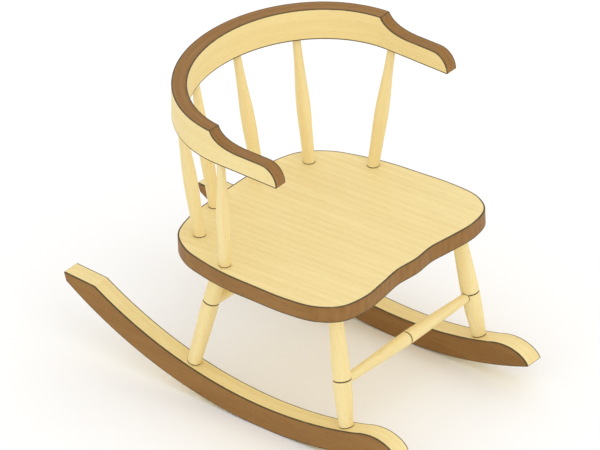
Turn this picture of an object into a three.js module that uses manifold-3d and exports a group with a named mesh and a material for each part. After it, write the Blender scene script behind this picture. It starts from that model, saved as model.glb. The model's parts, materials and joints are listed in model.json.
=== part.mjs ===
// Miniature (1:12) low-back Windsor rocking chair, as separate glued wooden pieces.
//
// Millimetres, +Z up. The chair faces -Y, so a sitter's left hand is at +X. The two sides mirror each
// other in the plane x = 0. The finished chair is moved so that its origin is at the bottom centre of its
// box, on the floor.

import * as THREE from 'three';
import { mergeVertices } from 'three/addons/utils/BufferGeometryUtils.js';
import Module from 'manifold-3d';

const wasm = await Module();
wasm.setup();

// ---------------------------------------------------------------- driving dimensions

const GLUE_GAP = 0.05;          // clearance round every tenon and under every shoulder
const TURNED_SIDES = 16;        // facets round a turned piece
const TURNED_STEPS = 11;        // facets along a leg or a spindle
const CUT_MARGIN = 2;           // how far a cutting shape runs out past the wood
const SAME_CORNER = 1e-5;       // corners nearer than this are joined before a solid is made

const ROCKER = {
  side: 18.3,                   // x of the middle of each rocker
  width: 3.7,
  height: 4.3,                  // from the bottom arc up to the top arc
  radius: 78,                   // of the bottom arc
  arcCentreY: -8.2,
  facetAngle: THREE.MathUtils.degToRad(2.48),
  facetsToTail: 13.5,           // half a facet each side of the lowest point keeps one facet level
  facetsToNose: 8.5,
  topSteps: 16,
  tailFlat: 6.6,                // length of the straight top at the tail
  tailRise: 0.35,
  tailOverhang: 0.5,            // how far the tail's top corner reaches out past its bottom corner
  noseStartY: -27.5,            // where the top leaves its arc and eases up to the crown of the nose
  noseCrown: [31.3, 7.6],       // forward and up: the highest point of the nose, where its top is level
  noseReach: 2.3,               // forward pull of the round-over from the crown
  noseDrop: [-0.5, 1.3],        // forward and up pull of the round-over at the tip
  noseSteps: 6,                 // facets from the tip up to the crown
  easeSteps: 4,                 // and from the crown back to the arc
};

const SEAT = {
  height: 29.7,                 // top of the seat at y = 0
  thickness: 3,
  tilt: 0.04,                   // radians, lower at the back
  outlinePoints: 88,
  // Half of the outline, from the front middle round to the back middle, as [x, y].
  halfOutline: [
    [0, -25.1], [4.6, -24.75], [9.5, -25.35], [15, -25.75], [19.8, -24.4], [22.5, -20.6], [23.3, -14.5],
    [23.1, -8], [22.7, -1.5], [21.7, 4], [20, 9.2], [16.6, 13.3], [11, 15.2], [5.5, 15.6], [0, 15.65],
  ],
};

const BOW = {
  underside: 52.4,
  backHeight: 5.95,
  armHeight: 3.45,
  outerHalfWidth: 24.65,
  innerHalfWidth: 22.05,
  outerDepth: 21.7,             // of the half ellipse behind the straight part of the arms
  innerDepth: 18.9,
  ellipseCentreY: -1.5,
  armFrontY: -14.3,
  noseLength: 3.3,
  stepLength: 5.5,              // the ogee from the back rail down to the arm
  stepPull: [0.9, 0.25],        // its control point: forward of the crease, above the arm
  sideSteps: 8,                 // facets of the nose, and of the ogee, seen from the side
  curveSteps: 44,               // facets of each half ellipse in plan
};

const SPINDLE = {
  footRadius: 1.02,
  topRadius: 0.71,
  socketDepth: 1.8,
  // Radius at shares of the visible length, from the seat up.
  swelling: [[0, 1.02], [0.22, 1.11], [0.4, 1.22], [0.54, 1.16], [0.7, 0.95], [0.86, 0.77], [1, 0.71]],
  // Foot on the seat as [x, y], and top as an angle round the bow's middle line, from the arm to the back.
  places: {
    front: { foot: [20.3, 0.1], bowAngle: 0 },
    middle: { foot: [15, 9.8], bowAngle: 47 },
    rear: { foot: [6, 13.7], bowAngle: 76 },
  },
};

const LEG = {
  footRadius: 1.2,
  topRadius: 1.15,
  seatSocketDepth: 2,
  tenonRadius: 0.65,
  tenonLength: 2.4,
  tenonRoot: 0.6,               // how far the tenon's rod reaches up into the leg
  footTrim: 1,                  // length of leg that is cut away to fit the rocker's curve
  grooveDepth: 0.14,
  grooveWidth: 0.4,
  ringRise: 0.6,                // how far the ring groove is cut above the stretcher's middle line
  // Foot y on the rocker, [x, y] under the seat, radius where the leg is fullest, and the share of the
  // length at which it is fullest and takes its stretcher.
  places: {
    front: { footY: -24.4, top: [16.7, -20.5], swell: 1.62, fullest: 0.37 },
    rear: { footY: 8.4, top: [16.7, 3.9], swell: 1.47, fullest: 0.6 },
  },
};

const STRETCHER = {
  endRadius: 0.8,
  socketDepth: 1.1,
  grooveDepth: 0.12,
  grooveWidth: 0.36,
  steps: 16,
  // Radius at shares of the length.
  swelling: [[0, 0.8], [0.25, 1.05], [0.5, 1.22], [0.75, 1.05], [1, 0.8]],
};

// ---------------------------------------------------------------- finishes

const COLOURS = { pale: 0xf3dd9a, brown: 0x987346 };

function wood(colour) {
  return new THREE.MeshStandardMaterial({ color: colour, roughness: 0.5, metalness: 0 });
}

// ---------------------------------------------------------------- solids

function solidOf(geometry) {
  const bare = geometry.clone();
  bare.deleteAttribute('normal');
  bare.deleteAttribute('uv');
  const merged = mergeVertices(bare, SAME_CORNER);
  const corners = merged.index.array;
  const triangles = [];
  for (let i = 0; i < corners.length; i += 3) {
    const [a, b, c] = [corners[i], corners[i + 1], corners[i + 2]];
    if (a !== b && b !== c && c !== a) triangles.push(a, b, c);
  }
  return new wasm.Manifold(new wasm.Mesh({
    numProp: 3,
    vertProperties: new Float32Array(merged.attributes.position.array),
    triVerts: new Uint32Array(triangles),
  }));
}

function geometryOf(solid) {
  const mesh = solid.getMesh();
  const geometry = new THREE.BufferGeometry();
  geometry.setAttribute('position', new THREE.BufferAttribute(mesh.vertProperties, 3));
  geometry.setIndex(new THREE.BufferAttribute(mesh.triVerts, 1));
  return geometry;
}

function piece(name, solid, colour) {
  const geometry = geometryOf(solid);
  geometry.computeVertexNormals();
  const mesh = new THREE.Mesh(geometry, wood(colour));
  mesh.name = name;
  return mesh;
}

// Stands a shape made round +Y on the line from one point to another.
function alongLine(geometry, from, to) {
  const direction = to.clone().sub(from).normalize();
  const turn = new THREE.Quaternion().setFromUnitVectors(new THREE.Vector3(0, 1, 0), direction);
  return geometry.applyQuaternion(turn).translate(from.x, from.y, from.z);
}

// A turned piece between two points: stations are [distance from the first point, radius].
function turned(stations, from, to) {
  const last = stations[stations.length - 1][0];
  const profile = [new THREE.Vector2(0, stations[0][0])];
  for (const [distance, radius] of stations) profile.push(new THREE.Vector2(radius, distance));
  profile.push(new THREE.Vector2(0, last));
  return solidOf(alongLine(new THREE.LatheGeometry(profile, TURNED_SIDES), from, to));
}

function rod(radius, from, to) {
  return turned([[0, radius], [from.distanceTo(to), radius]], from, to);
}

// The point a distance past "to" on the line that starts at "from".
function beyond(from, to, distance) {
  return to.clone().sub(from).setLength(from.distanceTo(to) + distance).add(from);
}

// The hole for a round tenon: it runs a gap past the tenon's end, and out of the wood at its mouth.
function socket(tenonRadius, depth, mouth, otherEnd) {
  const outwards = otherEnd.clone().sub(mouth).normalize();
  const bottom = mouth.clone().addScaledVector(outwards, -(depth + GLUE_GAP));
  const outside = mouth.clone().addScaledVector(outwards, CUT_MARGIN);
  return rod(tenonRadius + GLUE_GAP, bottom, outside);
}

// A board of this width centred on x, cut to an outline of (forward, up) points.
function sideBoard(outline, width, x) {
  const shape = new THREE.Shape(outline);
  const board = new THREE.ExtrudeGeometry(shape, { depth: width, bevelEnabled: false });
  const axes = new THREE.Matrix4().makeBasis(
    new THREE.Vector3(0, -1, 0),
    new THREE.Vector3(0, 0, 1),
    new THREE.Vector3(-1, 0, 0),
  );
  return solidOf(board.applyMatrix4(axes).translate(x + width / 2, 0, 0));
}

// Radii along a smooth curve through [share, radius] stations, as [distance, radius] stations.
function smoothStations(shares, start, length, steps) {
  const points = shares.map(([share, radius]) => new THREE.Vector2(share * length, radius));
  return new THREE.SplineCurve(points).getPoints(steps).map((point) => [start + point.x, point.y]);
}

// Cuts a V groove into a list of stations at a distance.
function withGroove(stations, at, width, depth) {
  const radiusAt = (distance) => {
    const next = Math.max(1, stations.findIndex(([d]) => d >= distance));
    const [[d0, r0], [d1, r1]] = [stations[next - 1], stations[next]];
    return THREE.MathUtils.mapLinear(distance, d0, d1, r0, r1);
  };
  const before = at - width / 2;
  const after = at + width / 2;
  return [
    ...stations.filter(([d]) => d < before),
    [before, radiusAt(before)],
    [at, radiusAt(at) - depth],
    [after, radiusAt(after)],
    ...stations.filter(([d]) => d > after),
  ];
}

// ---------------------------------------------------------------- rockers

const rockerArc = (radius, angle) => new THREE.Vector2(
  -ROCKER.arcCentreY + radius * Math.sin(angle),
  ROCKER.radius - radius * Math.cos(angle),
);

function rockerTopZ(y) {
  const run = y - ROCKER.arcCentreY;
  return ROCKER.radius - Math.sqrt((ROCKER.radius - ROCKER.height) ** 2 - run ** 2);
}

function rockerOutline() {
  const facets = ROCKER.facetsToTail + ROCKER.facetsToNose;
  const bottom = [];
  for (let i = 0; i <= facets; i += 1) {
    bottom.push(rockerArc(ROCKER.radius, (i - ROCKER.facetsToTail) * ROCKER.facetAngle));
  }
  const tailCorner = bottom[0];
  const tip = bottom[bottom.length - 1];

  const kinkForward = tailCorner.x - ROCKER.tailOverhang + ROCKER.tailFlat;
  const topRadius = ROCKER.radius - ROCKER.height;
  const kinkAngle = Math.asin((kinkForward + ROCKER.arcCentreY) / topRadius);
  const noseAngle = Math.asin((-ROCKER.noseStartY + ROCKER.arcCentreY) / topRadius);
  const top = [];
  for (let i = 0; i <= ROCKER.topSteps; i += 1) {
    top.push(rockerArc(topRadius, THREE.MathUtils.lerp(noseAngle, kinkAngle, i / ROCKER.topSteps)));
  }
  const [noseStart] = top;
  const kink = top[ROCKER.topSteps];

  const crown = new THREE.Vector2(...ROCKER.noseCrown);
  const roundOver = new THREE.CubicBezierCurve(
    tip,
    tip.clone().add(new THREE.Vector2(...ROCKER.noseDrop)),
    crown.clone().add(new THREE.Vector2(ROCKER.noseReach, 0)),
    crown,
  ).getPoints(ROCKER.noseSteps);
  const easeIn = new THREE.QuadraticBezierCurve(
    crown,
    new THREE.Vector2((crown.x + noseStart.x) / 2, crown.y),
    noseStart,
  ).getPoints(ROCKER.easeSteps);

  const tailTop = new THREE.Vector2(tailCorner.x - ROCKER.tailOverhang, kink.y + ROCKER.tailRise);
  return [...bottom, ...roundOver.slice(1), ...easeIn.slice(1), ...top.slice(1), tailTop];
}

function rockerBoard(side) {
  return sideBoard(rockerOutline(), ROCKER.width, side * ROCKER.side);
}

// ---------------------------------------------------------------- seat

const seatNormal = new THREE.Vector3(0, Math.sin(SEAT.tilt), Math.cos(SEAT.tilt));

function onSeat([x, y], side, depth = 0) {
  const top = new THREE.Vector3(side * x, y, SEAT.height - Math.tan(SEAT.tilt) * y);
  return top.addScaledVector(seatNormal, -depth);
}

function seatBoard() {
  const right = SEAT.halfOutline.slice(1, -1).map(([x, y]) => [-x, y]).reverse();
  const points = [...SEAT.halfOutline, ...right].map(([x, y]) => new THREE.Vector3(x, y, 0));
  const outline = new THREE.CatmullRomCurve3(points, true, 'centripetal').getPoints(SEAT.outlinePoints);
  const shape = new THREE.Shape(outline.slice(0, -1).map((point) => new THREE.Vector2(point.x, point.y)));
  const board = new THREE.ExtrudeGeometry(shape, { depth: SEAT.thickness, bevelEnabled: false });
  board.translate(0, 0, -SEAT.thickness).rotateX(-SEAT.tilt).translate(0, 0, SEAT.height);
  return solidOf(board);
}

// ---------------------------------------------------------------- arm bow

function halfEllipse(halfWidth, depth) {
  const arc = new THREE.EllipseCurve(0, BOW.ellipseCentreY, halfWidth, depth, 0, Math.PI, false);
  return arc.getPoints(BOW.curveSteps);
}

function bowPlan() {
  const outline = [
    new THREE.Vector2(BOW.outerHalfWidth, BOW.armFrontY),
    ...halfEllipse(BOW.outerHalfWidth, BOW.outerDepth),
    new THREE.Vector2(-BOW.outerHalfWidth, BOW.armFrontY),
    new THREE.Vector2(-BOW.innerHalfWidth, BOW.armFrontY),
    ...halfEllipse(BOW.innerHalfWidth, BOW.innerDepth).reverse(),
    new THREE.Vector2(BOW.innerHalfWidth, BOW.armFrontY),
  ];
  const options = { depth: BOW.backHeight, bevelEnabled: false };
  const slab = new THREE.ExtrudeGeometry(new THREE.Shape(outline), options);
  return solidOf(slab.translate(0, 0, BOW.underside));
}

// What the side view keeps: the back rail at full height, the ogee step, the arm and its round nose.
function bowSide() {
  const armTop = BOW.underside + BOW.armHeight;
  const railTop = BOW.underside + BOW.backHeight;
  const front = -BOW.armFrontY;
  const behind = -BOW.outerDepth - CUT_MARGIN;
  const nose = new THREE.EllipseCurve(
    front - BOW.noseLength,
    BOW.underside,
    BOW.noseLength,
    BOW.armHeight,
    0,
    Math.PI / 2,
  ).getPoints(BOW.sideSteps);
  const step = new THREE.QuadraticBezierCurve(
    new THREE.Vector2(BOW.stepLength, armTop),
    new THREE.Vector2(BOW.stepPull[0], armTop + BOW.stepPull[1]),
    new THREE.Vector2(0, railTop),
  ).getPoints(BOW.sideSteps);
  const outline = [
    new THREE.Vector2(behind, BOW.underside - CUT_MARGIN),
    new THREE.Vector2(front, BOW.underside - CUT_MARGIN),
    ...nose,
    ...step,
    new THREE.Vector2(0, railTop + CUT_MARGIN),
    new THREE.Vector2(behind, railTop + CUT_MARGIN),
  ];
  return sideBoard(outline, 2 * (BOW.outerHalfWidth + CUT_MARGIN), 0);
}

function underBow(angle, side) {
  const turn = THREE.MathUtils.degToRad(angle);
  const halfWidth = (BOW.outerHalfWidth + BOW.innerHalfWidth) / 2;
  const depth = (BOW.outerDepth + BOW.innerDepth) / 2;
  const y = BOW.ellipseCentreY + depth * Math.sin(turn);
  return new THREE.Vector3(side * halfWidth * Math.cos(turn), y, BOW.underside);
}

// ---------------------------------------------------------------- spindles, legs and stretchers

// Each of these has the ends of its axis, its own solid and the holes that it needs in its neighbours.

function makeSpindle(place, side) {
  const foot = onSeat(place.foot, side);
  const top = underBow(place.bowAngle, side);
  const length = foot.distanceTo(top);
  const depth = SPINDLE.socketDepth;
  const stations = [
    [0, SPINDLE.footRadius],
    ...smoothStations(SPINDLE.swelling, depth, length, TURNED_STEPS),
    [length + 2 * depth, SPINDLE.topRadius],
  ];
  return {
    solid: turned(stations, beyond(top, foot, depth), top),
    seatHole: socket(SPINDLE.footRadius, depth, foot, top),
    bowHole: socket(SPINDLE.topRadius, depth, top, foot),
  };
}

function legAxis(place, side) {
  return {
    foot: new THREE.Vector3(side * ROCKER.side, place.footY, rockerTopZ(place.footY)),
    top: onSeat(place.top, side, SEAT.thickness),
  };
}

function fullestPoint(place, side) {
  const { foot, top } = legAxis(place, side);
  return foot.lerp(top, place.fullest);
}

function makeLeg(place, side, board, stretcherHole) {
  const { foot, top } = legAxis(place, side);
  const length = foot.distanceTo(top);
  const shares = [[0, LEG.footRadius], [place.fullest, place.swell], [1, LEG.topRadius]];
  const body = [
    [0, LEG.footRadius],
    ...smoothStations(shares, LEG.footTrim, length, TURNED_STEPS),
    [LEG.footTrim + length + LEG.seatSocketDepth, LEG.topRadius],
  ];
  const ringAt = LEG.footTrim + place.fullest * length + LEG.ringRise;
  const grooved = withGroove(body, ringAt, LEG.grooveWidth, LEG.grooveDepth);
  const tenonEnd = beyond(top, foot, LEG.tenonLength);
  const solid = turned(grooved, beyond(top, foot, LEG.footTrim), top)
    .subtract(board.translate([0, 0, GLUE_GAP]))
    .add(rod(LEG.tenonRadius, tenonEnd, beyond(tenonEnd, foot, LEG.tenonRoot)))
    .subtract(stretcherHole);
  return {
    solid,
    seatHole: socket(LEG.topRadius, LEG.seatSocketDepth, top, foot),
    rockerHole: socket(LEG.tenonRadius, LEG.tenonLength, foot, top),
  };
}

function stretcherEnd(place, side) {
  const end = fullestPoint(place, side);
  end.x -= side * (place.swell - STRETCHER.socketDepth);
  return end;
}

function makeStretcher(place) {
  const right = stretcherEnd(place, -1);
  const left = stretcherEnd(place, 1);
  const length = right.distanceTo(left);
  const stations = smoothStations(STRETCHER.swelling, 0, length, STRETCHER.steps);
  return turned(withGroove(stations, length / 2, STRETCHER.grooveWidth, STRETCHER.grooveDepth), right, left);
}

function stretcherHole(place, side) {
  const end = stretcherEnd(place, side);
  const outside = end.clone();
  outside.x -= side * (STRETCHER.socketDepth + CUT_MARGIN);
  end.x += side * GLUE_GAP;
  return rod(STRETCHER.endRadius + GLUE_GAP, end, outside);
}

// ---------------------------------------------------------------- assembly

const chair = new THREE.Group();
let seat = seatBoard();
let bow = bowPlan().intersect(bowSide());

for (const [sideName, side] of [['left', 1], ['right', -1]]) {
  for (const [placeName, place] of Object.entries(SPINDLE.places)) {
    const spindle = makeSpindle(place, side);
    seat = seat.subtract(spindle.seatHole);
    bow = bow.subtract(spindle.bowHole);
    chair.add(piece(`spindle_${sideName}_${placeName}`, spindle.solid, COLOURS.pale));
  }
  const board = rockerBoard(side);
  let rocker = board;
  for (const [placeName, place] of Object.entries(LEG.places)) {
    const leg = makeLeg(place, side, board, stretcherHole(place, side));
    seat = seat.subtract(leg.seatHole);
    rocker = rocker.subtract(leg.rockerHole);
    chair.add(piece(`leg_${sideName}_${placeName}`, leg.solid, COLOURS.pale));
  }
  chair.add(piece(`rocker_${sideName}`, rocker, COLOURS.brown));
}
for (const [placeName, place] of Object.entries(LEG.places)) {
  chair.add(piece(`stretcher_${placeName}`, makeStretcher(place), COLOURS.pale));
}
chair.add(piece('seat', seat, COLOURS.pale));
chair.add(piece('arm_bow', bow, COLOURS.pale));

const box = new THREE.Box3().setFromObject(chair, true);
chair.position.set(0, -(box.min.y + box.max.y) / 2, -box.min.z);

export default chair;
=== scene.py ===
"""Looks for a miniature low-back Windsor rocking chair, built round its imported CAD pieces.

Metres, +Z up. The chair faces -Y. Every visible piece is made fine here from its own CAD node: the boards
from the outlines of their flat faces, the turned pieces from their rings. All of them keep the CAD's joints.
"""

import json
import math

import bmesh
import bpy
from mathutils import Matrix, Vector
from mathutils.bvhtree import BVHTree
from mathutils.kdtree import KDTree


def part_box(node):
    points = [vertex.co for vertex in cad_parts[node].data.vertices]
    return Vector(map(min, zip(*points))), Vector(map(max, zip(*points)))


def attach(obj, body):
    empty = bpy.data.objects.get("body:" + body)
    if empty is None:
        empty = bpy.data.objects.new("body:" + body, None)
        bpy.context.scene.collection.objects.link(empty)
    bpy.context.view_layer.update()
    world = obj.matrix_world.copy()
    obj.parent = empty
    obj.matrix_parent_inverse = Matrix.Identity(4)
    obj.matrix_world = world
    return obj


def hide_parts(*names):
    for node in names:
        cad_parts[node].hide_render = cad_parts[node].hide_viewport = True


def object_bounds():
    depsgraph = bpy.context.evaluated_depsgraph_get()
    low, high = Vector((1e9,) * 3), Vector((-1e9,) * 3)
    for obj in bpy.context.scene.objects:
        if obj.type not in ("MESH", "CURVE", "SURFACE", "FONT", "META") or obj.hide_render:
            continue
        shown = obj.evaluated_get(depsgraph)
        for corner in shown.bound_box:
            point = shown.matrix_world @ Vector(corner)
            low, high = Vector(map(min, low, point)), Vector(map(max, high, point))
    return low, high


# ---------------------------------------------------------------- sizes

MM = 0.001
UP = Vector((0, 0, 1))
SIDEWAYS = Vector((1, 0, 0))    # towards the sitter's left
SIDES = ("left", "right")
SPINDLE_PLACES = ("front", "middle", "rear")
LEG_PLACES = ("front", "rear")

WELD = 0.002 * MM              # corners of a CAD mesh nearer than this are one corner
CAD_SIDES = 16                 # round a turned CAD piece
RING_SPREAD = 0.01 * MM        # corners of one ring differ by less than this in distance and radius
RING_PROOF = 12                # and there are at least this many of them, even where a hole cuts the ring
RING_SIDES = 48                # round the same piece here
AXIS_ROUNDS = 2                # each finds a piece's two end rings again by the axis that the last one gave
FINE_STEPS = 4                 # curve steps here for each CAD facet
STRAIGHT_STEP = 2 * MM         # longest step that the bow's smooth curves are drawn through

ARRIS = 0.11 * MM              # size of the softened edges of a board
ARRIS_STEPS = 3
ARRIS_ANGLE = math.radians(35) # a sharper bend than this is softened
KINK_ANGLE = math.radians(14)  # a gentler one than this is a smooth curve
TINY_EDGE = 0.03 * MM          # a shorter edge than this is closed up before the bevel

# Widths of the dark lines inside a board's edges, each with the softened edge taken out of it.
SEAT_LINE = 0.3 * MM
WALL_LINE = 0.25 * MM          # along the foot of the seat's wall and of the bow's, and over the bow
ROCKER_TOP_LINE = 0.25 * MM
ROCKER_SIDE_LINE = 0.18 * MM

GLUE_GAP = 0.05 * MM           # round every tenon, and past its end
JOINT_LINE = 0.15 * MM         # height of the dark band of painted shade where a turned piece meets its neighbour
CLEAR_OF_JOINT = 0.5 * MM      # from a joint line to the first level ring
END_CHAMFER = 0.12 * MM        # on the hidden ends of the turned pieces
GROOVE_LINE = 0.12 * MM        # half width of the dark line of painted shade in a turned groove
GROOVE_FLAT = GROOVE_LINE / 3  # half width of the groove's flat bottom
WIDEST_GROOVE = 0.5 * MM       # a wider dip in a turned piece belongs to its curve
CUT_MARGIN = 2 * MM            # how far a cutting shape runs out past the wood
WALL_DEPTH = 0.3 * MM          # the bow's outer wall beside the arms is no further in than this
CLEAR_OF_CORNER = 0.3 * MM     # from a board's sharp corner to the next point of its smooth outline

GRAIN_SHIFT = Vector((37, 23, 91))  # each piece's grain lies this many millimetres from the last one's

CAMERA_AZIMUTH = math.radians(-51.8)
CAMERA_ELEVATION = math.radians(32)
VIEW_WIDTH = 101.7 * MM        # across the picture, at the chair's middle
AIM = Vector((0, 0.45, -1.47)) * MM  # from the middle of the CAD's box to the middle of the view
LENS = 1000.0                  # so long that the view is almost parallel

FLOOR_SIZE = 4.0
LAMP_PLACE = Vector((-0.25, -0.55, 0.75))
LAMP_SIZE = 0.8

# ---------------------------------------------------------------- looks

# Finishes, by the number of their material slot on every piece.
PALE, BROWN, LINE, TURNED, SOCKET = range(5)

# Each wood's light grain, its dark grain and its flecks, and the dark lines, in 0-255 screen values.
PALE_COLOURS = ((243, 223, 161), (233, 209, 144), (206, 176, 117))
# The turned pieces' pale wood is painted a few points lighter than the boards'. This is painted light: their
# upright faces get less light from above.
TURNED_COLOURS_PAINTED_LIGHTER = ((246, 227, 167), (236, 213, 150), (208, 179, 122))
BROWN_COLOURS = ((156, 115, 65), (136, 97, 51), (102, 72, 37))
# The dark lines: a stain along the board edges, and painted shade at the joints and in the grooves of the
# turned pieces.
LINE_COLOUR = (78, 64, 38)
WORN_LINE_COLOUR = (128, 104, 62)

# Scales of the noises in the finishes, per millimetre: across the grain both ways, then along it.
WANDER = (0.5, 0.5, 0.035)
GROWTH_RINGS = (1.0, 0.6, 0.03)
FIBRES = (5.5, 5.5, 0.2)
FLECKS = (8.0, 8.0, 0.8)
LATHE_MARKS = (0.4, 0.4, 9.0)
RUBBING = (1.3, 1.3, 0.5)
SPECKLE = (12.0, 12.0, 6.0)

# How much of the dark grain the first three of them bring in.
WANDER_SHARE = 0.40
RING_SHARE = 0.30
FIBRE_SHARE = 0.30

# How much of the worn colour the last two of them bring in.
RUBBED_SHARE = 0.75
SPECKLE_SHARE = 0.2

NOISE_RANGE = (0.3, 0.7)       # nearly all of a noise's values lie between these
FLECK_RANGE = (0.60, 0.70)     # noise values where a fleck begins, and where it is at its darkest
RUBBED_RANGE = (0.52, 0.70)    # the same for a rubbed place of the stain lines

WOOD_ROUGHNESS = (0.42, 0.56)
LINE_ROUGHNESS = (0.45, 0.62)
WOOD_BUMP = 0.012 * MM
LINE_BUMP = 0.008 * MM
FLECK_DEPTH = 0.5              # of a fleck, as a share of the wood's bump

FLOOR_COLOUR = (0.97, 0.97, 0.97, 1)
ROOM_COLOUR = (1, 1, 1, 1)
ROOM_STRENGTH = 1.0
LAMP_POWER = 1.2

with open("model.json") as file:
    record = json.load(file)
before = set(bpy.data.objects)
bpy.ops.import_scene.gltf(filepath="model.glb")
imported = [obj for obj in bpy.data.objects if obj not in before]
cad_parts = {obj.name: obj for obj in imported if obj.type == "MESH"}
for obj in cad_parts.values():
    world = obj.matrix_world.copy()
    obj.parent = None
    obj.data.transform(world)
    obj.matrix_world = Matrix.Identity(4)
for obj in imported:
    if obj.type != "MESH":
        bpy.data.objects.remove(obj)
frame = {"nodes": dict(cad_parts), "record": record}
cad_box = [list(corner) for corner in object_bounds()]
nodes = frame["nodes"]


# ---------------------------------------------------------------- reading the CAD

def node_points(node):
    """Each corner of a CAD node's mesh once."""
    seen = {}
    for vertex in nodes[node].data.vertices:
        seen.setdefault(tuple(round(c / WELD) for c in vertex.co), vertex.co.copy())
    return list(seen.values())


def edge_loops(pairs):
    """Chains of neighbouring corners, from the two-ended edges of closed outlines."""
    neighbours = {}
    for a, b in pairs:
        neighbours.setdefault(a, []).append(b)
        neighbours.setdefault(b, []).append(a)
    loops = []
    while neighbours:
        start = next(iter(neighbours))
        loop = [start]
        here = start
        while True:
            onward = [n for n in neighbours.pop(here) if n in neighbours]
            if not onward:
                break
            here = onward[0]
            loop.append(here)
        loops.append(loop)
    return loops


def flat_outline(node, point, normal):
    """The outer outline of a CAD node's flat face, anticlockwise seen against the normal."""
    bm = bmesh.new()
    bm.from_mesh(nodes[node].data)
    bmesh.ops.remove_doubles(bm, verts=bm.verts, dist=WELD)
    bm.normal_update()
    face_at = normal.dot(point)
    flat = {f for f in bm.faces if all(abs(v.co.dot(normal) - face_at) < WELD for v in f.verts)}
    rim = [e for e in bm.edges if sum(f in flat for f in e.link_faces) == 1]
    places = {v.index: v.co.copy() for v in bm.verts}
    loops = edge_loops([(e.verts[0].index, e.verts[1].index) for e in rim])
    bm.free()
    outline = max(([places[i] for i in loop] for loop in loops), key=loop_length)
    turning = sum((a.cross(b) for a, b in zip(outline, outline[1:] + outline[:1])), Vector())
    return outline if turning.dot(normal) > 0 else outline[::-1]


def loop_length(points):
    return sum((a - b).length for a, b in zip(points, points[1:] + points[:1]))


# ---------------------------------------------------------------- smooth curves

def on_curve(p0, p1, p2, p3, share):
    """A point of the centripetal Catmull-Rom curve, this share of the way from p1 to p2."""
    t0 = 0.0
    t1 = t0 + math.sqrt((p1 - p0).length)
    t2 = t1 + math.sqrt((p2 - p1).length)
    t3 = t2 + math.sqrt((p3 - p2).length)
    t = t1 + (t2 - t1) * share
    a1 = p0.lerp(p1, (t - t0) / (t1 - t0))
    a2 = p1.lerp(p2, (t - t1) / (t2 - t1))
    a3 = p2.lerp(p3, (t - t2) / (t3 - t2))
    b1 = a1.lerp(a2, (t - t0) / (t2 - t0))
    b2 = a2.lerp(a3, (t - t1) / (t3 - t1))
    return b1.lerp(b2, (t - t1) / (t2 - t1))


def smooth_open(points, steps=FINE_STEPS):
    """A smooth curve through the points, both ends kept."""
    before = points[0] * 2 - points[1]
    after = points[-1] * 2 - points[-2]
    padded = [before, *points, after]
    fine = []
    for i in range(len(points) - 1):
        fine += [on_curve(*padded[i:i + 4], step / steps) for step in range(steps)]
    return fine + [points[-1]]


def smooth_closed(points, steps=FINE_STEPS):
    around = [points[-1], *points, points[0], points[1]]
    fine = []
    for i in range(len(points)):
        fine += [on_curve(*around[i:i + 4], step / steps) for step in range(steps)]
    return fine


def divided(points, longest=STRAIGHT_STEP):
    """The same open line with its long straight stretches cut into short ones."""
    out = [points[0]]
    for a, b in zip(points, points[1:]):
        pieces = max(1, math.ceil((b - a).length / longest))
        out += [a.lerp(b, i / pieces) for i in range(1, pieces + 1)]
    return out


def turned_loop(points, first):
    return points[first:] + points[:first]


# ---------------------------------------------------------------- meshes

def prism(outline, along, cap, wall, bands=(), cap_line=0.0):
    """A board: the outline carried along a vector. cap and wall are finishes. The bands of the wall, given as
    (start, end) distances along the vector, and a strip round each cap take the line finish."""
    bm = bmesh.new()
    length = along.length
    stages = sorted({0.0, length, *(end for band in bands for end in band)})
    loops = [[bm.verts.new(p + along * (stage / length)) for p in outline] for stage in stages]
    caps = [bm.faces.new(loops[0][::-1]), bm.faces.new(loops[-1])]
    for face in caps:
        face.material_index = cap
    count = len(outline)
    for low, high, start, end in zip(loops, loops[1:], stages, stages[1:]):
        lined = any(band[0] <= (start + end) / 2 <= band[1] for band in bands)
        for i in range(count):
            j = (i + 1) % count
            bm.faces.new((low[i], low[j], high[j], high[i])).material_index = LINE if lined else wall
    bmesh.ops.recalc_face_normals(bm, faces=bm.faces)
    if cap_line:
        rim = bmesh.ops.inset_individual(bm, faces=caps, thickness=cap_line, use_even_offset=True)
        for face in rim["faces"]:
            face.material_index = LINE
    return bm


def object_of(name, bm):
    mesh = bpy.data.meshes.new(name)
    for number in sorted(finishes):
        mesh.materials.append(finishes[number])
    bm.to_mesh(mesh)
    piece = bpy.data.objects.new(name, mesh)
    bpy.context.scene.collection.objects.link(piece)
    return piece


def combined(bm, other, operation):
    """The bmesh cut or crossed with another one."""
    target = object_of("cut_target", bm)
    cutter = object_of("cutter", other)
    modifier = target.modifiers.new("cut", "BOOLEAN")
    modifier.operation = operation
    modifier.object = cutter
    modifier.solver = "EXACT"
    evaluated = target.evaluated_get(bpy.context.evaluated_depsgraph_get())
    result = bmesh.new()
    result.from_mesh(evaluated.data)
    for scratch in (target, cutter):
        mesh = scratch.data
        bpy.data.objects.remove(scratch)
        bpy.data.meshes.remove(mesh)
    return result


def soften(bm):
    """Rounds a board's sharp edges, in the line finish. Socket mouths and slight kinks stay crisp."""
    bmesh.ops.remove_doubles(bm, verts=bm.verts, dist=TINY_EDGE)
    bm.normal_update()
    sharp = []
    for edge in bm.edges:
        bend = edge.calc_face_angle(0)
        at_socket = any(face.material_index == SOCKET for face in edge.link_faces)
        if bend > ARRIS_ANGLE and not at_socket:
            sharp.append(edge)
        elif bend > KINK_ANGLE:
            edge.smooth = False
    bmesh.ops.bevel(
        bm, geom=sharp, offset=ARRIS, offset_type="OFFSET", segments=ARRIS_STEPS, profile=0.5,
        affect="EDGES", clamp_overlap=False, material=LINE, miter_outer="SHARP",
    )


def keep_kinks(bm):
    """Leaves every bend of a turned piece crisp, apart from its smooth curves."""
    bm.normal_update()
    for edge in bm.edges:
        edge.smooth = edge.calc_face_angle(0) < KINK_ANGLE


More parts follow.
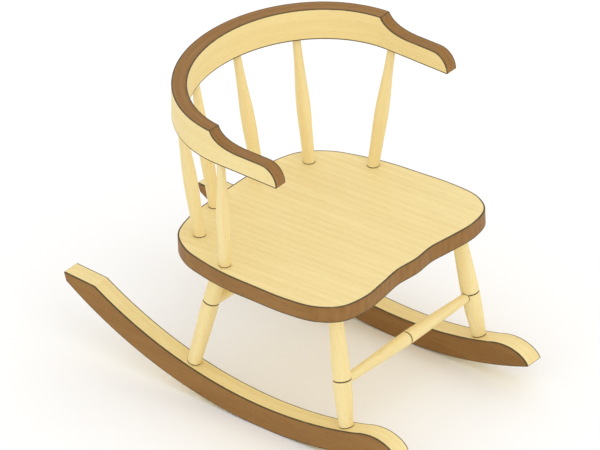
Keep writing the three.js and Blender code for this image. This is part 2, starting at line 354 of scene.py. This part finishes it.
def ribbon(outer, inner, height, line):
    """A bent board between two walls, with the line finish along the foot of each wall and over its edges."""
    bm = bmesh.new()
    inwards = [(b - a).normalized() * line for a, b in zip(outer, inner)]
    outer_inset = [p + step for p, step in zip(outer, inwards)]
    inner_inset = [p - step for p, step in zip(inner, inwards)]
    lanes = [
        (outer, 0.0, LINE), (outer, line, PALE), (outer, height, LINE), (outer_inset, height, BROWN),
        (inner_inset, height, LINE), (inner, height, PALE), (inner, line, LINE), (inner, 0.0, BROWN),
    ]
    lines = [[bm.verts.new(p + UP * rise) for p in wall] for wall, rise, _ in lanes]
    for i in range(len(outer) - 1):
        for lane, (_, _, finish) in enumerate(lanes):
            a, b = lines[lane], lines[(lane + 1) % len(lines)]
            bm.faces.new((a[i], a[i + 1], b[i + 1], b[i])).material_index = finish
    for end in (0, -1):
        bm.faces.new([line[end] for line in lines]).material_index = BROWN
    bmesh.ops.recalc_face_normals(bm, faces=bm.faces)
    return bm


# ---------------------------------------------------------------- turned shapes

def middle_of(points):
    return sum(points, Vector()) / len(points)


def same_ring(a, b):
    return abs(a[0] - b[0]) < RING_SPREAD and abs(a[1] - b[1]) < RING_SPREAD


class Turning:
    """A turned CAD piece: the line that it turns on, and its rings as (distance, radius)."""

    def __init__(self, node, guess):
        points = node_points(node)
        ranked = sorted(points, key=guess.dot)
        self.base = middle_of(ranked[:CAD_SIDES])
        end = middle_of(ranked[-CAD_SIDES:])
        for _ in range(AXIS_ROUNDS):
            self.axis = (end - self.base).normalized()
            heights = [p.dot(self.axis) for p in points]
            self.base = middle_of([p for p, h in zip(points, heights) if h < min(heights) + RING_SPREAD])
            end = middle_of([p for p, h in zip(points, heights) if h > max(heights) - RING_SPREAD])
        self.axis = (end - self.base).normalized()
        self.length = (end - self.base).length
        self.across = self.axis.cross(SIDEWAYS if abs(self.axis.x) < 0.5 else UP).normalized()
        self.square = self.axis.cross(self.across)
        self.rings = self.read_rings(points)

    def read_rings(self, points):
        measured = sorted(self.measure(p) for p in points)
        rings = []
        for here in measured:
            alike = sum(same_ring(here, other) for other in measured)
            known = rings and same_ring(here, rings[-1])
            if alike >= RING_PROOF and not known:
                rings.append(here)
        return rings

    def measure(self, point):
        offset = point - self.base
        distance = offset.dot(self.axis)
        return distance, (offset - self.axis * distance).length

    def point(self, side, distance, radius):
        angle = 2 * math.pi * side / RING_SIDES
        outward = self.across * math.cos(angle) + self.square * math.sin(angle)
        return self.base + self.axis * distance + outward * radius

    def level(self, distance):
        return [distance] * RING_SIDES

    def contact(self, tree, start, way, radius):
        """Where each line along the piece's surface meets its neighbour, as distances."""
        met = []
        for side in range(RING_SIDES):
            origin = self.point(side, start, radius)
            hit = tree.ray_cast(origin, self.axis * way)[0]
            met.append((hit - self.base).dot(self.axis))
        return met

    def build(self, rows):
        """rows are (distances, radius, finish); a row's finish covers the band up to the next row."""
        bm = bmesh.new()
        rings = []
        for distances, radius, _ in rows:
            rings.append([bm.verts.new(self.point(s, distances[s], radius)) for s in range(RING_SIDES)])
        for (low, high), (_, _, finish) in zip(zip(rings, rings[1:]), rows):
            for s in range(RING_SIDES):
                n = (s + 1) % RING_SIDES
                bm.faces.new((low[s], low[n], high[n], high[s])).material_index = finish
        bm.faces.new(rings[0][::-1]).material_index = TURNED
        bm.faces.new(rings[-1]).material_index = TURNED
        bmesh.ops.recalc_face_normals(bm, faces=bm.faces)
        return bm

    def start_rows(self, radius):
        """The hidden end that the axis starts from."""
        return [(self.level(0), radius - END_CHAMFER, TURNED), (self.level(END_CHAMFER), radius, TURNED)]

    def end_rows(self, radius):
        """The hidden end that the axis runs to."""
        return [
            (self.level(self.length - END_CHAMFER), radius, TURNED),
            (self.level(self.length), radius - END_CHAMFER, TURNED),
        ]

    def visible_rows(self, profile, low, low_radius, high, high_radius):
        """The stretch between two neighbours: the profile, with a dark band of painted shade at each joint.
        """
        lowest = max(low) + CLEAR_OF_JOINT
        highest = min(high) - CLEAR_OF_JOINT
        between = [row for row in profile if lowest < row[0] < highest]
        # Painted shade: a dark band in the line finish at each end, where the piece meets its neighbour.
        return [
            (low, low_radius, LINE),
            (shifted(low, JOINT_LINE), low_radius, TURNED),
            *[(self.level(distance), radius, finish) for distance, radius, finish in between],
            (shifted(high, -JOINT_LINE), high_radius, LINE),
            (high, high_radius, TURNED),
        ]

    def rod(self, low, high, radius):
        """A plain rod on the same line, to cut a socket with."""
        bm = self.build([(self.level(low), radius, SOCKET), (self.level(high), radius, SOCKET)])
        for face in bm.faces:
            face.material_index = SOCKET
        return bm

    def holes(self, low_tree, high_tree):
        """The sockets that the two ends need in their neighbours."""
        middle = self.length / 2
        low_radius = self.rings[0][1]
        high_radius = self.rings[-1][1]
        low_mouth = max(self.contact(low_tree, middle, -1, low_radius)) + CUT_MARGIN
        high_mouth = min(self.contact(high_tree, middle, 1, high_radius)) - CUT_MARGIN
        return (
            self.rod(-GLUE_GAP, low_mouth, low_radius + GLUE_GAP),
            self.rod(high_mouth, self.length + GLUE_GAP, high_radius + GLUE_GAP),
        )


def shifted(distances, by):
    return [d + by for d in distances]


def smooth_profile(rings):
    """Fine (distance, radius, finish) stations through CAD rings, with any V groove made round and its bottom
    darkened with painted shade.
    """
    points = [Vector((distance, radius)) for distance, radius in rings]
    grooves = [
        i for i in range(1, len(points) - 1)
        if points[i].y < points[i - 1].y - WELD and points[i].y < points[i + 1].y - WELD
        and points[i + 1].x - points[i - 1].x < WIDEST_GROOVE
    ]
    body = [p for i, p in enumerate(points) if i not in grooves]
    profile = [(p.x, p.y, TURNED) for p in smooth_open(body)]
    for i in grooves:
        before, bottom, after = points[i - 1:i + 2]
        depth = (before.y + after.y) / 2 - bottom.y
        half = (after.x - before.x) / 2
        on_side = bottom.y + depth * GROOVE_LINE / half
        profile = [row for row in profile if not before.x - WELD < row[0] < after.x + WELD]
        # The groove's bottom takes the dark line finish: painted shade in the groove.
        profile += [
            (before.x, before.y, TURNED),
            (bottom.x - GROOVE_LINE, on_side, LINE),
            (bottom.x - GROOVE_FLAT, bottom.y, LINE),
            (bottom.x + GROOVE_FLAT, bottom.y, LINE),
            (bottom.x + GROOVE_LINE, on_side, TURNED),
            (after.x, after.y, TURNED),
        ]
        profile.sort()
    return profile


# ---------------------------------------------------------------- boards

def seat_board():
    """The seat, from the outline of its top: the face that the record's seat_top mount lies on."""
    mount = next(m for m in frame["record"]["mounts"] if m["name"] == "seat_top")
    point = Vector(mount["pos_m"])
    normal = Vector(mount["axis"]).normalized()
    outline = smooth_closed(flat_outline("seat", point, normal))
    thickness = max((point - p).dot(normal) for p in node_points("seat"))
    foot = (thickness - WALL_LINE, thickness)
    return prism(outline, normal * -thickness, PALE, BROWN, bands=[foot], cap_line=SEAT_LINE)


def rocker_corners(outline):
    """Where a rocker's outline bends sharply: its three corners, and both ends of the tail's straight top."""
    steps = [b - a for a, b in zip(outline, outline[1:] + outline[:1])]
    bends = [steps[i - 1].angle(steps[i]) for i in range(len(steps))]
    sharpest = sorted(range(len(steps)), key=lambda i: (bends[i], i))[-3:]
    straight = max(range(len(steps)), key=lambda i: steps[i].length)
    return {*sharpest, straight, (straight + 1) % len(steps)}


def rocker_board(node):
    """A rocker, from the outline of its outer side: a smooth curve between each two of its corners."""
    low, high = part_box(node)
    outline = flat_outline(node, high, SIDEWAYS)
    corners = rocker_corners(outline)
    first = min(corners)
    splits = sorted(i - first for i in corners) + [len(outline)]
    outline = turned_loop(outline, first)
    outline.append(outline[0])
    fine = []
    for start, end in zip(splits, splits[1:]):
        corner, *curve, next_corner = smooth_open(outline[start:end + 1])
        fine.append(corner)
        if end - start > 1:
            for point in curve:
                if min((point - corner).length, (point - next_corner).length) > CLEAR_OF_CORNER:
                    fine.append(point)
    for point in fine:
        point.z = max(point.z, low.z)
    width = high.x - low.x
    edges = [(0, ROCKER_TOP_LINE), (width - ROCKER_TOP_LINE, width)]
    return prism(fine, SIDEWAYS * -width, BROWN, PALE, bands=edges, cap_line=ROCKER_SIDE_LINE)


def bow_walls():
    """The bow's outer and inner walls in plan, each as one curve from the right arm's tip to the left's."""
    low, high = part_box("arm_bow")
    outline = flat_outline("arm_bow", low, -UP)
    count = len(outline)
    tips = [i for i in range(count) if outline[i].y < low.y + WELD]
    first = next(i for i in tips if (i + 1) % count not in tips)
    outline = turned_loop(outline, first)
    end_of_first = next(i for i in range(1, count) if outline[i].y < low.y + WELD)
    walls = [outline[:end_of_first + 1], outline[end_of_first + 1:]]
    walls = [wall if wall[0].x < 0 else wall[::-1] for wall in walls]
    walls = [smooth_open(divided(wall)) for wall in walls]
    for point in (point for wall in walls for point in wall):
        point.x = min(max(point.x, low.x), high.x)
    return sorted(walls, key=lambda wall: max(p.y for p in wall), reverse=True)


def arm_profile():
    """The top of the arms seen from the side: (y, z) from the tip of the nose back to the crease."""
    low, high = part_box("arm_bow")
    on_wall = [p.yz for p in node_points("arm_bow") if p.x > high.x - WALL_DEPTH]
    crease = min(yz.x for yz in on_wall if yz.y > high.z - WELD)
    top = [yz for yz in on_wall if yz.x < crease + WELD and yz.y > low.z + WELD]
    tip = Vector((low.y, low.z))
    return smooth_open(divided([tip, *sorted(top, key=lambda yz: yz.x)]))


def bow_board():
    """The bow: its plan drawn through the full height, crossed with its side view."""
    low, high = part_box("arm_bow")
    profile = [Vector((low.x - CUT_MARGIN, y, z)) for y, z in arm_profile()]
    tip, crease = profile[0], profile[-1]
    pairs = [
        (a, b) for a, b in zip(*bow_walls())
        if abs(a.y - crease.y) > CLEAR_OF_CORNER and abs(b.y - crease.y) > CLEAR_OF_CORNER
    ]
    outer, inner = zip(*pairs)
    slab = ribbon(outer, inner, high.z - low.z, WALL_LINE)
    behind = high.y + CUT_MARGIN
    side = [
        *profile,
        Vector((tip.x, crease.y, high.z + CUT_MARGIN)),
        Vector((tip.x, behind, high.z + CUT_MARGIN)),
        Vector((tip.x, behind, low.z - CUT_MARGIN)),
        Vector((tip.x, tip.y, low.z - CUT_MARGIN)),
    ]
    width = high.x - low.x + 2 * CUT_MARGIN
    inner_edge = CUT_MARGIN + inner[0].x - outer[0].x
    lines = [(CUT_MARGIN, CUT_MARGIN + WALL_LINE), (inner_edge - WALL_LINE, inner_edge + ARRIS)]
    lines += [(width - end, width - start) for start, end in lines]
    return combined(slab, prism(side, SIDEWAYS * width, BROWN, BROWN, bands=lines), "INTERSECT")


# ---------------------------------------------------------------- turned pieces

def make_spindle(turning, seat, bow):
    """A spindle from its foot in the seat to its top under the bow."""
    middle = turning.length / 2
    foot_radius = turning.rings[0][1]
    top_radius = turning.rings[-1][1]
    foot = turning.contact(seat, middle, -1, foot_radius)
    top = turning.contact(bow, middle, 1, top_radius)
    profile = smooth_profile(turning.rings[1:-1])
    return turning.build([
        *turning.start_rows(foot_radius),
        *turning.visible_rows(profile, foot, foot_radius, top, top_radius),
        *turning.end_rows(top_radius),
    ])


def make_leg(turning, rocker, seat):
    """A leg from its tenon in the rocker to its top in the seat."""
    middle = turning.length / 2
    tenon_radius = turning.rings[0][1]
    top_radius = turning.rings[-1][1]
    body = [ring for ring in turning.rings if ring[1] > (tenon_radius + top_radius) / 2]
    (near, near_radius), (far, far_radius) = body[:2]
    foot_at = min(turning.contact(rocker, middle, -1, near_radius))
    foot_radius = near_radius + (far_radius - near_radius) * (foot_at - near) / (far - near)
    shoulder = shifted(turning.contact(rocker, middle, -1, foot_radius), GLUE_GAP)
    root = shifted(turning.contact(rocker, middle, -1, tenon_radius), GLUE_GAP)
    top = turning.contact(seat, middle, 1, top_radius)
    return turning.build([
        *turning.start_rows(tenon_radius),
        (root, tenon_radius, TURNED),
        *turning.visible_rows(smooth_profile(body), shoulder, foot_radius, top, top_radius),
        *turning.end_rows(top_radius),
    ])


def radius_near(profile, distance):
    return min(profile, key=lambda row: abs(row[0] - distance))[1]


def make_stretcher(turning, right_leg, left_leg):
    """A stretcher with both of its ends let into the legs."""
    middle = turning.length / 2
    end_radius = turning.rings[0][1]
    profile = smooth_profile(turning.rings)
    right = turning.contact(right_leg, middle, -1, end_radius)
    left = turning.contact(left_leg, middle, 1, end_radius)
    right_radius = radius_near(profile, max(right))
    left_radius = radius_near(profile, min(left))
    return turning.build([
        *turning.start_rows(end_radius),
        *turning.visible_rows(profile, right, right_radius, left, left_radius),
        *turning.end_rows(end_radius),
    ])


# ---------------------------------------------------------------- finishes

def linear(colour):
    """A colour given in 0-255 screen values, on the renderer's linear scale, by the sRGB curve."""
    shares = [c / 255 for c in colour]
    return (*[s / 12.92 if s <= 0.04045 else ((s + 0.055) / 1.055) ** 2.4 for s in shares], 1.0)


class Tree:
    """A material's node tree, built one node at a time."""

    def __init__(self, name):
        self.material = bpy.data.materials.new(name)
        self.material.use_nodes = True
        self.tree = self.material.node_tree
        self.tree.nodes.clear()

    def add(self, kind, inputs, **settings):
        node = self.tree.nodes.new("ShaderNode" + kind)
        for key, value in settings.items():
            setattr(node, key, value)
        for key, value in inputs.items():
            if isinstance(value, bpy.types.NodeSocket):
                self.tree.links.new(value, node.inputs[key])
            else:
                node.inputs[key].default_value = value
        return node

    def grain(self, scale):
        """The place in the wood in millimetres, z along the grain, times a scale."""
        place = self.add("Attribute", {}, attribute_name="grain").outputs["Vector"]
        return self.add("VectorMath", {0: place, 1: scale}, operation="MULTIPLY").outputs["Vector"]

    def noise(self, scale, detail=3.0, roughness=0.55, distortion=0.0):
        inputs = {
            "Vector": self.grain(scale), "Scale": 1.0, "Detail": detail,
            "Roughness": roughness, "Distortion": distortion,
        }
        return self.add("TexNoise", inputs).outputs["Fac"]

    def bands(self, scale):
        inputs = {
            "Vector": self.grain(scale), "Scale": 0.2, "Distortion": 5.0, "Detail": 2.0, "Detail Scale": 0.7,
        }
        look = {"wave_type": "BANDS", "bands_direction": "X", "wave_profile": "SIN"}
        return self.add("TexWave", inputs, **look).outputs["Fac"]

    def remap(self, value, low, high, to_low=0.0, to_high=1.0):
        inputs = {"Value": value, "From Min": low, "From Max": high, "To Min": to_low, "To Max": to_high}
        return self.add("MapRange", inputs, interpolation_type="SMOOTHSTEP").outputs["Result"]

    def mix(self, factor, a, b):
        node = self.add("Mix", {"Factor": factor}, data_type="RGBA")
        for name, value in (("A", a), ("B", b)):
            target = next(s for s in node.inputs if s.name == name and s.type == "RGBA")
            if isinstance(value, bpy.types.NodeSocket):
                self.tree.links.new(value, target)
            else:
                target.default_value = value
        return next(s for s in node.outputs if s.type == "RGBA")

    def maths(self, operation, a, b):
        return self.add("Math", {0: a, 1: b}, operation=operation).outputs["Value"]

    def finish(self, colour, roughness, height, depth, specular):
        bump = self.add("Bump", {"Strength": 1.0, "Distance": depth, "Height": height})
        inputs = {
            "Base Color": colour, "Roughness": roughness, "Normal": bump.outputs["Normal"],
            "Specular IOR Level": specular,
        }
        surface = self.add("BsdfPrincipled", inputs).outputs["BSDF"]
        self.add("OutputMaterial", {"Surface": surface})
        return self.material


def wood(name, colours, fleck_share=0.35, lathe_marks=0.0, specular=0.25):
    """Close-grained wood under a thin satin finish: growth rings, fibres and short dark flecks."""
    light, dark, fleck = [linear(colour) for colour in colours]
    tree = Tree(name)
    wander = tree.noise(WANDER, detail=2.0, distortion=0.3)
    rings = tree.bands(GROWTH_RINGS)
    fibres = tree.noise(FIBRES, detail=4.0, roughness=0.6)
    flecks = tree.remap(tree.noise(FLECKS, detail=2.0), *FLECK_RANGE)
    share = tree.maths("MULTIPLY", rings, RING_SHARE)
    share = tree.maths("ADD", share, tree.remap(wander, *NOISE_RANGE, 0.0, WANDER_SHARE))
    share = tree.maths("ADD", share, tree.remap(fibres, *NOISE_RANGE, 0.0, FIBRE_SHARE))
    colour = tree.mix(share, light, dark)
    colour = tree.mix(tree.maths("MULTIPLY", flecks, fleck_share), colour, fleck)
    height = tree.maths("SUBTRACT", fibres, tree.maths("MULTIPLY", flecks, FLECK_DEPTH))
    if lathe_marks:
        marks = tree.noise(LATHE_MARKS, detail=1.0)
        height = tree.maths("ADD", height, tree.maths("MULTIPLY", marks, lathe_marks))
    roughness = tree.remap(fibres, *NOISE_RANGE, *WOOD_ROUGHNESS)
    return tree.finish(colour, roughness, height, WOOD_BUMP, specular)


def edge_line_and_painted_shade(name):
    """The dark stain line along the softened edges, rubbed a little paler in places. The same finish is
    painted shade at the joints and in the grooves of the turned pieces.
    """
    tree = Tree(name)
    rubbed = tree.remap(tree.noise(RUBBING, detail=3.0, roughness=0.7), *RUBBED_RANGE)
    speckle = tree.noise(SPECKLE, detail=2.0)
    share = tree.maths("MULTIPLY", rubbed, RUBBED_SHARE)
    share = tree.maths("ADD", share, tree.maths("MULTIPLY", speckle, SPECKLE_SHARE))
    colour = tree.mix(share, linear(LINE_COLOUR), linear(WORN_LINE_COLOUR))
    roughness = tree.remap(speckle, *NOISE_RANGE, *LINE_ROUGHNESS)
    return tree.finish(colour, roughness, speckle, LINE_BUMP, 0.3)


def all_finishes():
    return {
        PALE: wood("pale_wood", PALE_COLOURS),
        BROWN: wood("brown_wood", BROWN_COLOURS, fleck_share=0.5, specular=0.15),
        # dark stain along the board edges, and painted shade at the turned pieces' joints and grooves
        LINE: edge_line_and_painted_shade("edge_line_and_painted_shade"),
        # pale wood painted lighter: painted light for the upright turned pieces
        TURNED: wood("pale_wood_turned_painted_lighter", TURNED_COLOURS_PAINTED_LIGHTER, lathe_marks=0.6),
        SOCKET: wood("pale_wood_cut", PALE_COLOURS, fleck_share=0.6),
    }


# ---------------------------------------------------------------- pieces

# Each grain gives a point's place in the wood, with z along the grain.

def straight_grain(point):
    return Vector((point.x, point.z, point.y))


def turned_grain(turning):
    def place(point):
        offset = point - turning.base
        return Vector((offset.dot(turning.across), offset.dot(turning.square), offset.dot(turning.axis)))
    return place


def bent_grain():
    """Grain that follows the bow round: how far along its middle line, and how far out from it and up."""
    outer, inner = bow_walls()
    middle = []
    for i, point in enumerate(outer):
        partner = inner[round(i * (len(inner) - 1) / (len(outer) - 1))]
        middle.append((point + partner) / 2)
    tree = KDTree(len(middle))
    along = [0.0]
    for i, point in enumerate(middle):
        tree.insert(point.xy.to_3d(), i)
        if i:
            along.append(along[-1] + (point - middle[i - 1]).length)
    tree.balance()

    def place(point):
        near, i, _ = tree.find(point.xy.to_3d())
        ahead = (middle[min(i + 1, len(middle) - 1)] - middle[max(i - 1, 0)]).normalized()
        offset = point.xy.to_3d() - near
        return Vector((offset.dot(ahead.cross(UP)), point.z, along[i] + offset.dot(ahead)))
    return place


def finished_piece(node, bm, grain, order):
    """One visible piece that stands for a CAD node: shaded, grained, and riding on the chair."""
    piece = object_of("fine_" + node, bm)
    mesh = piece.data
    mesh.polygons.foreach_set("use_smooth", [True] * len(mesh.polygons))
    attribute = mesh.attributes.new("grain", "FLOAT_VECTOR", "POINT")
    for vertex in mesh.vertices:
        attribute.data[vertex.index].vector = grain(vertex.co) / MM + GRAIN_SHIFT * order
    normals = piece.modifiers.new("flat_faces", "WEIGHTED_NORMAL")
    normals.keep_sharp = True
    normals.weight = 100       # the widest faces decide how their neighbours are shaded
    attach(piece, "root")
    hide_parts(node)


class Assembly:
    """The boards and the turned pieces between them. Each stays whole until all of its holes are known."""

    def __init__(self):
        self.shapes = {"seat": seat_board(), "arm_bow": bow_board()}
        for side in SIDES:
            node = f"rocker_{side}"
            self.shapes[node] = rocker_board(node)
        self.turnings = {}
        self.holes = {}

    def add_turned(self, node, make, guess, low_node, high_node):
        """Makes a turned piece that runs from one neighbour to another."""
        turning = Turning(node, guess)
        low_tree = BVHTree.FromBMesh(self.shapes[low_node])
        high_tree = BVHTree.FromBMesh(self.shapes[high_node])
        self.turnings[node] = turning
        self.shapes[node] = make(turning, low_tree, high_tree)
        for neighbour, hole in zip((low_node, high_node), turning.holes(low_tree, high_tree)):
            self.holes.setdefault(neighbour, []).append(hole)

    def finish(self):
        """Cuts the holes, and turns every shape into a finished piece."""
        for order, (node, shape) in enumerate(self.shapes.items()):
            for hole in self.holes.get(node, ()):
                shape = combined(shape, hole, "DIFFERENCE")
            if node in self.turnings:
                keep_kinks(shape)
                grain = turned_grain(self.turnings[node])
            else:
                soften(shape)
                grain = bent_grain() if node == "arm_bow" else straight_grain
            finished_piece(node, shape, grain, order)


def build_chair():
    chair = Assembly()
    for side in SIDES:
        for place in SPINDLE_PLACES:
            chair.add_turned(f"spindle_{side}_{place}", make_spindle, UP, "seat", "arm_bow")
        for place in LEG_PLACES:
            chair.add_turned(f"leg_{side}_{place}", make_leg, UP, f"rocker_{side}", "seat")
    for place in LEG_PLACES:
        legs = (f"leg_right_{place}", f"leg_left_{place}")
        chair.add_turned(f"stretcher_{place}", make_stretcher, SIDEWAYS, *legs)
    chair.finish()


# ---------------------------------------------------------------- room, lights and camera

def make_floor():
    bm = bmesh.new()
    half = FLOOR_SIZE / 2
    corners = ((-half, -half), (half, -half), (half, half), (-half, half))
    bm.faces.new([bm.verts.new((x, y, 0)) for x, y in corners])
    floor = object_of("floor", bm)
    tree = Tree("pale_floor")
    matt = {"Base Color": FLOOR_COLOUR, "Roughness": 0.9, "Specular IOR Level": 0.1}
    surface = tree.add("BsdfPrincipled", matt).outputs["BSDF"]
    tree.add("OutputMaterial", {"Surface": surface})
    floor.data.materials.clear()
    floor.data.materials.append(tree.material)


def facing(way):
    """The turn that points a lamp or a camera along a direction."""
    return way.to_track_quat("-Z", "Y")


def make_lamp():
    light = bpy.data.lights.new("key", "AREA")
    light.shape = "DISK"
    light.size = LAMP_SIZE
    light.energy = LAMP_POWER
    lamp = bpy.data.objects.new("key", light)
    bpy.context.scene.collection.objects.link(lamp)
    lamp.location = LAMP_PLACE
    lamp.rotation_mode = "QUATERNION"
    lamp.rotation_quaternion = facing(-LAMP_PLACE)


def make_room():
    world = bpy.data.worlds.new("studio")
    world.use_nodes = True
    background = world.node_tree.nodes["Background"]
    background.inputs["Color"].default_value = ROOM_COLOUR
    background.inputs["Strength"].default_value = ROOM_STRENGTH
    bpy.context.scene.world = world
    bpy.context.scene.view_settings.view_transform = "Standard"
    make_lamp()


def make_camera():
    low, high = (Vector(corner) for corner in cad_box)
    back = Vector((
        math.sin(CAMERA_AZIMUTH) * math.cos(CAMERA_ELEVATION),
        -math.cos(CAMERA_AZIMUTH) * math.cos(CAMERA_ELEVATION),
        math.sin(CAMERA_ELEVATION),
    ))
    data = bpy.data.cameras.new("camera")
    data.lens = LENS
    camera = bpy.data.objects.new("camera", data)
    bpy.context.scene.collection.objects.link(camera)
    camera.location = (low + high) / 2 + AIM + back * (VIEW_WIDTH * LENS / data.sensor_width)
    camera.rotation_mode = "QUATERNION"
    camera.rotation_quaternion = facing(-back)
    bpy.context.scene.camera = camera


finishes = all_finishes()
build_chair()
make_floor()
make_room()
make_camera()
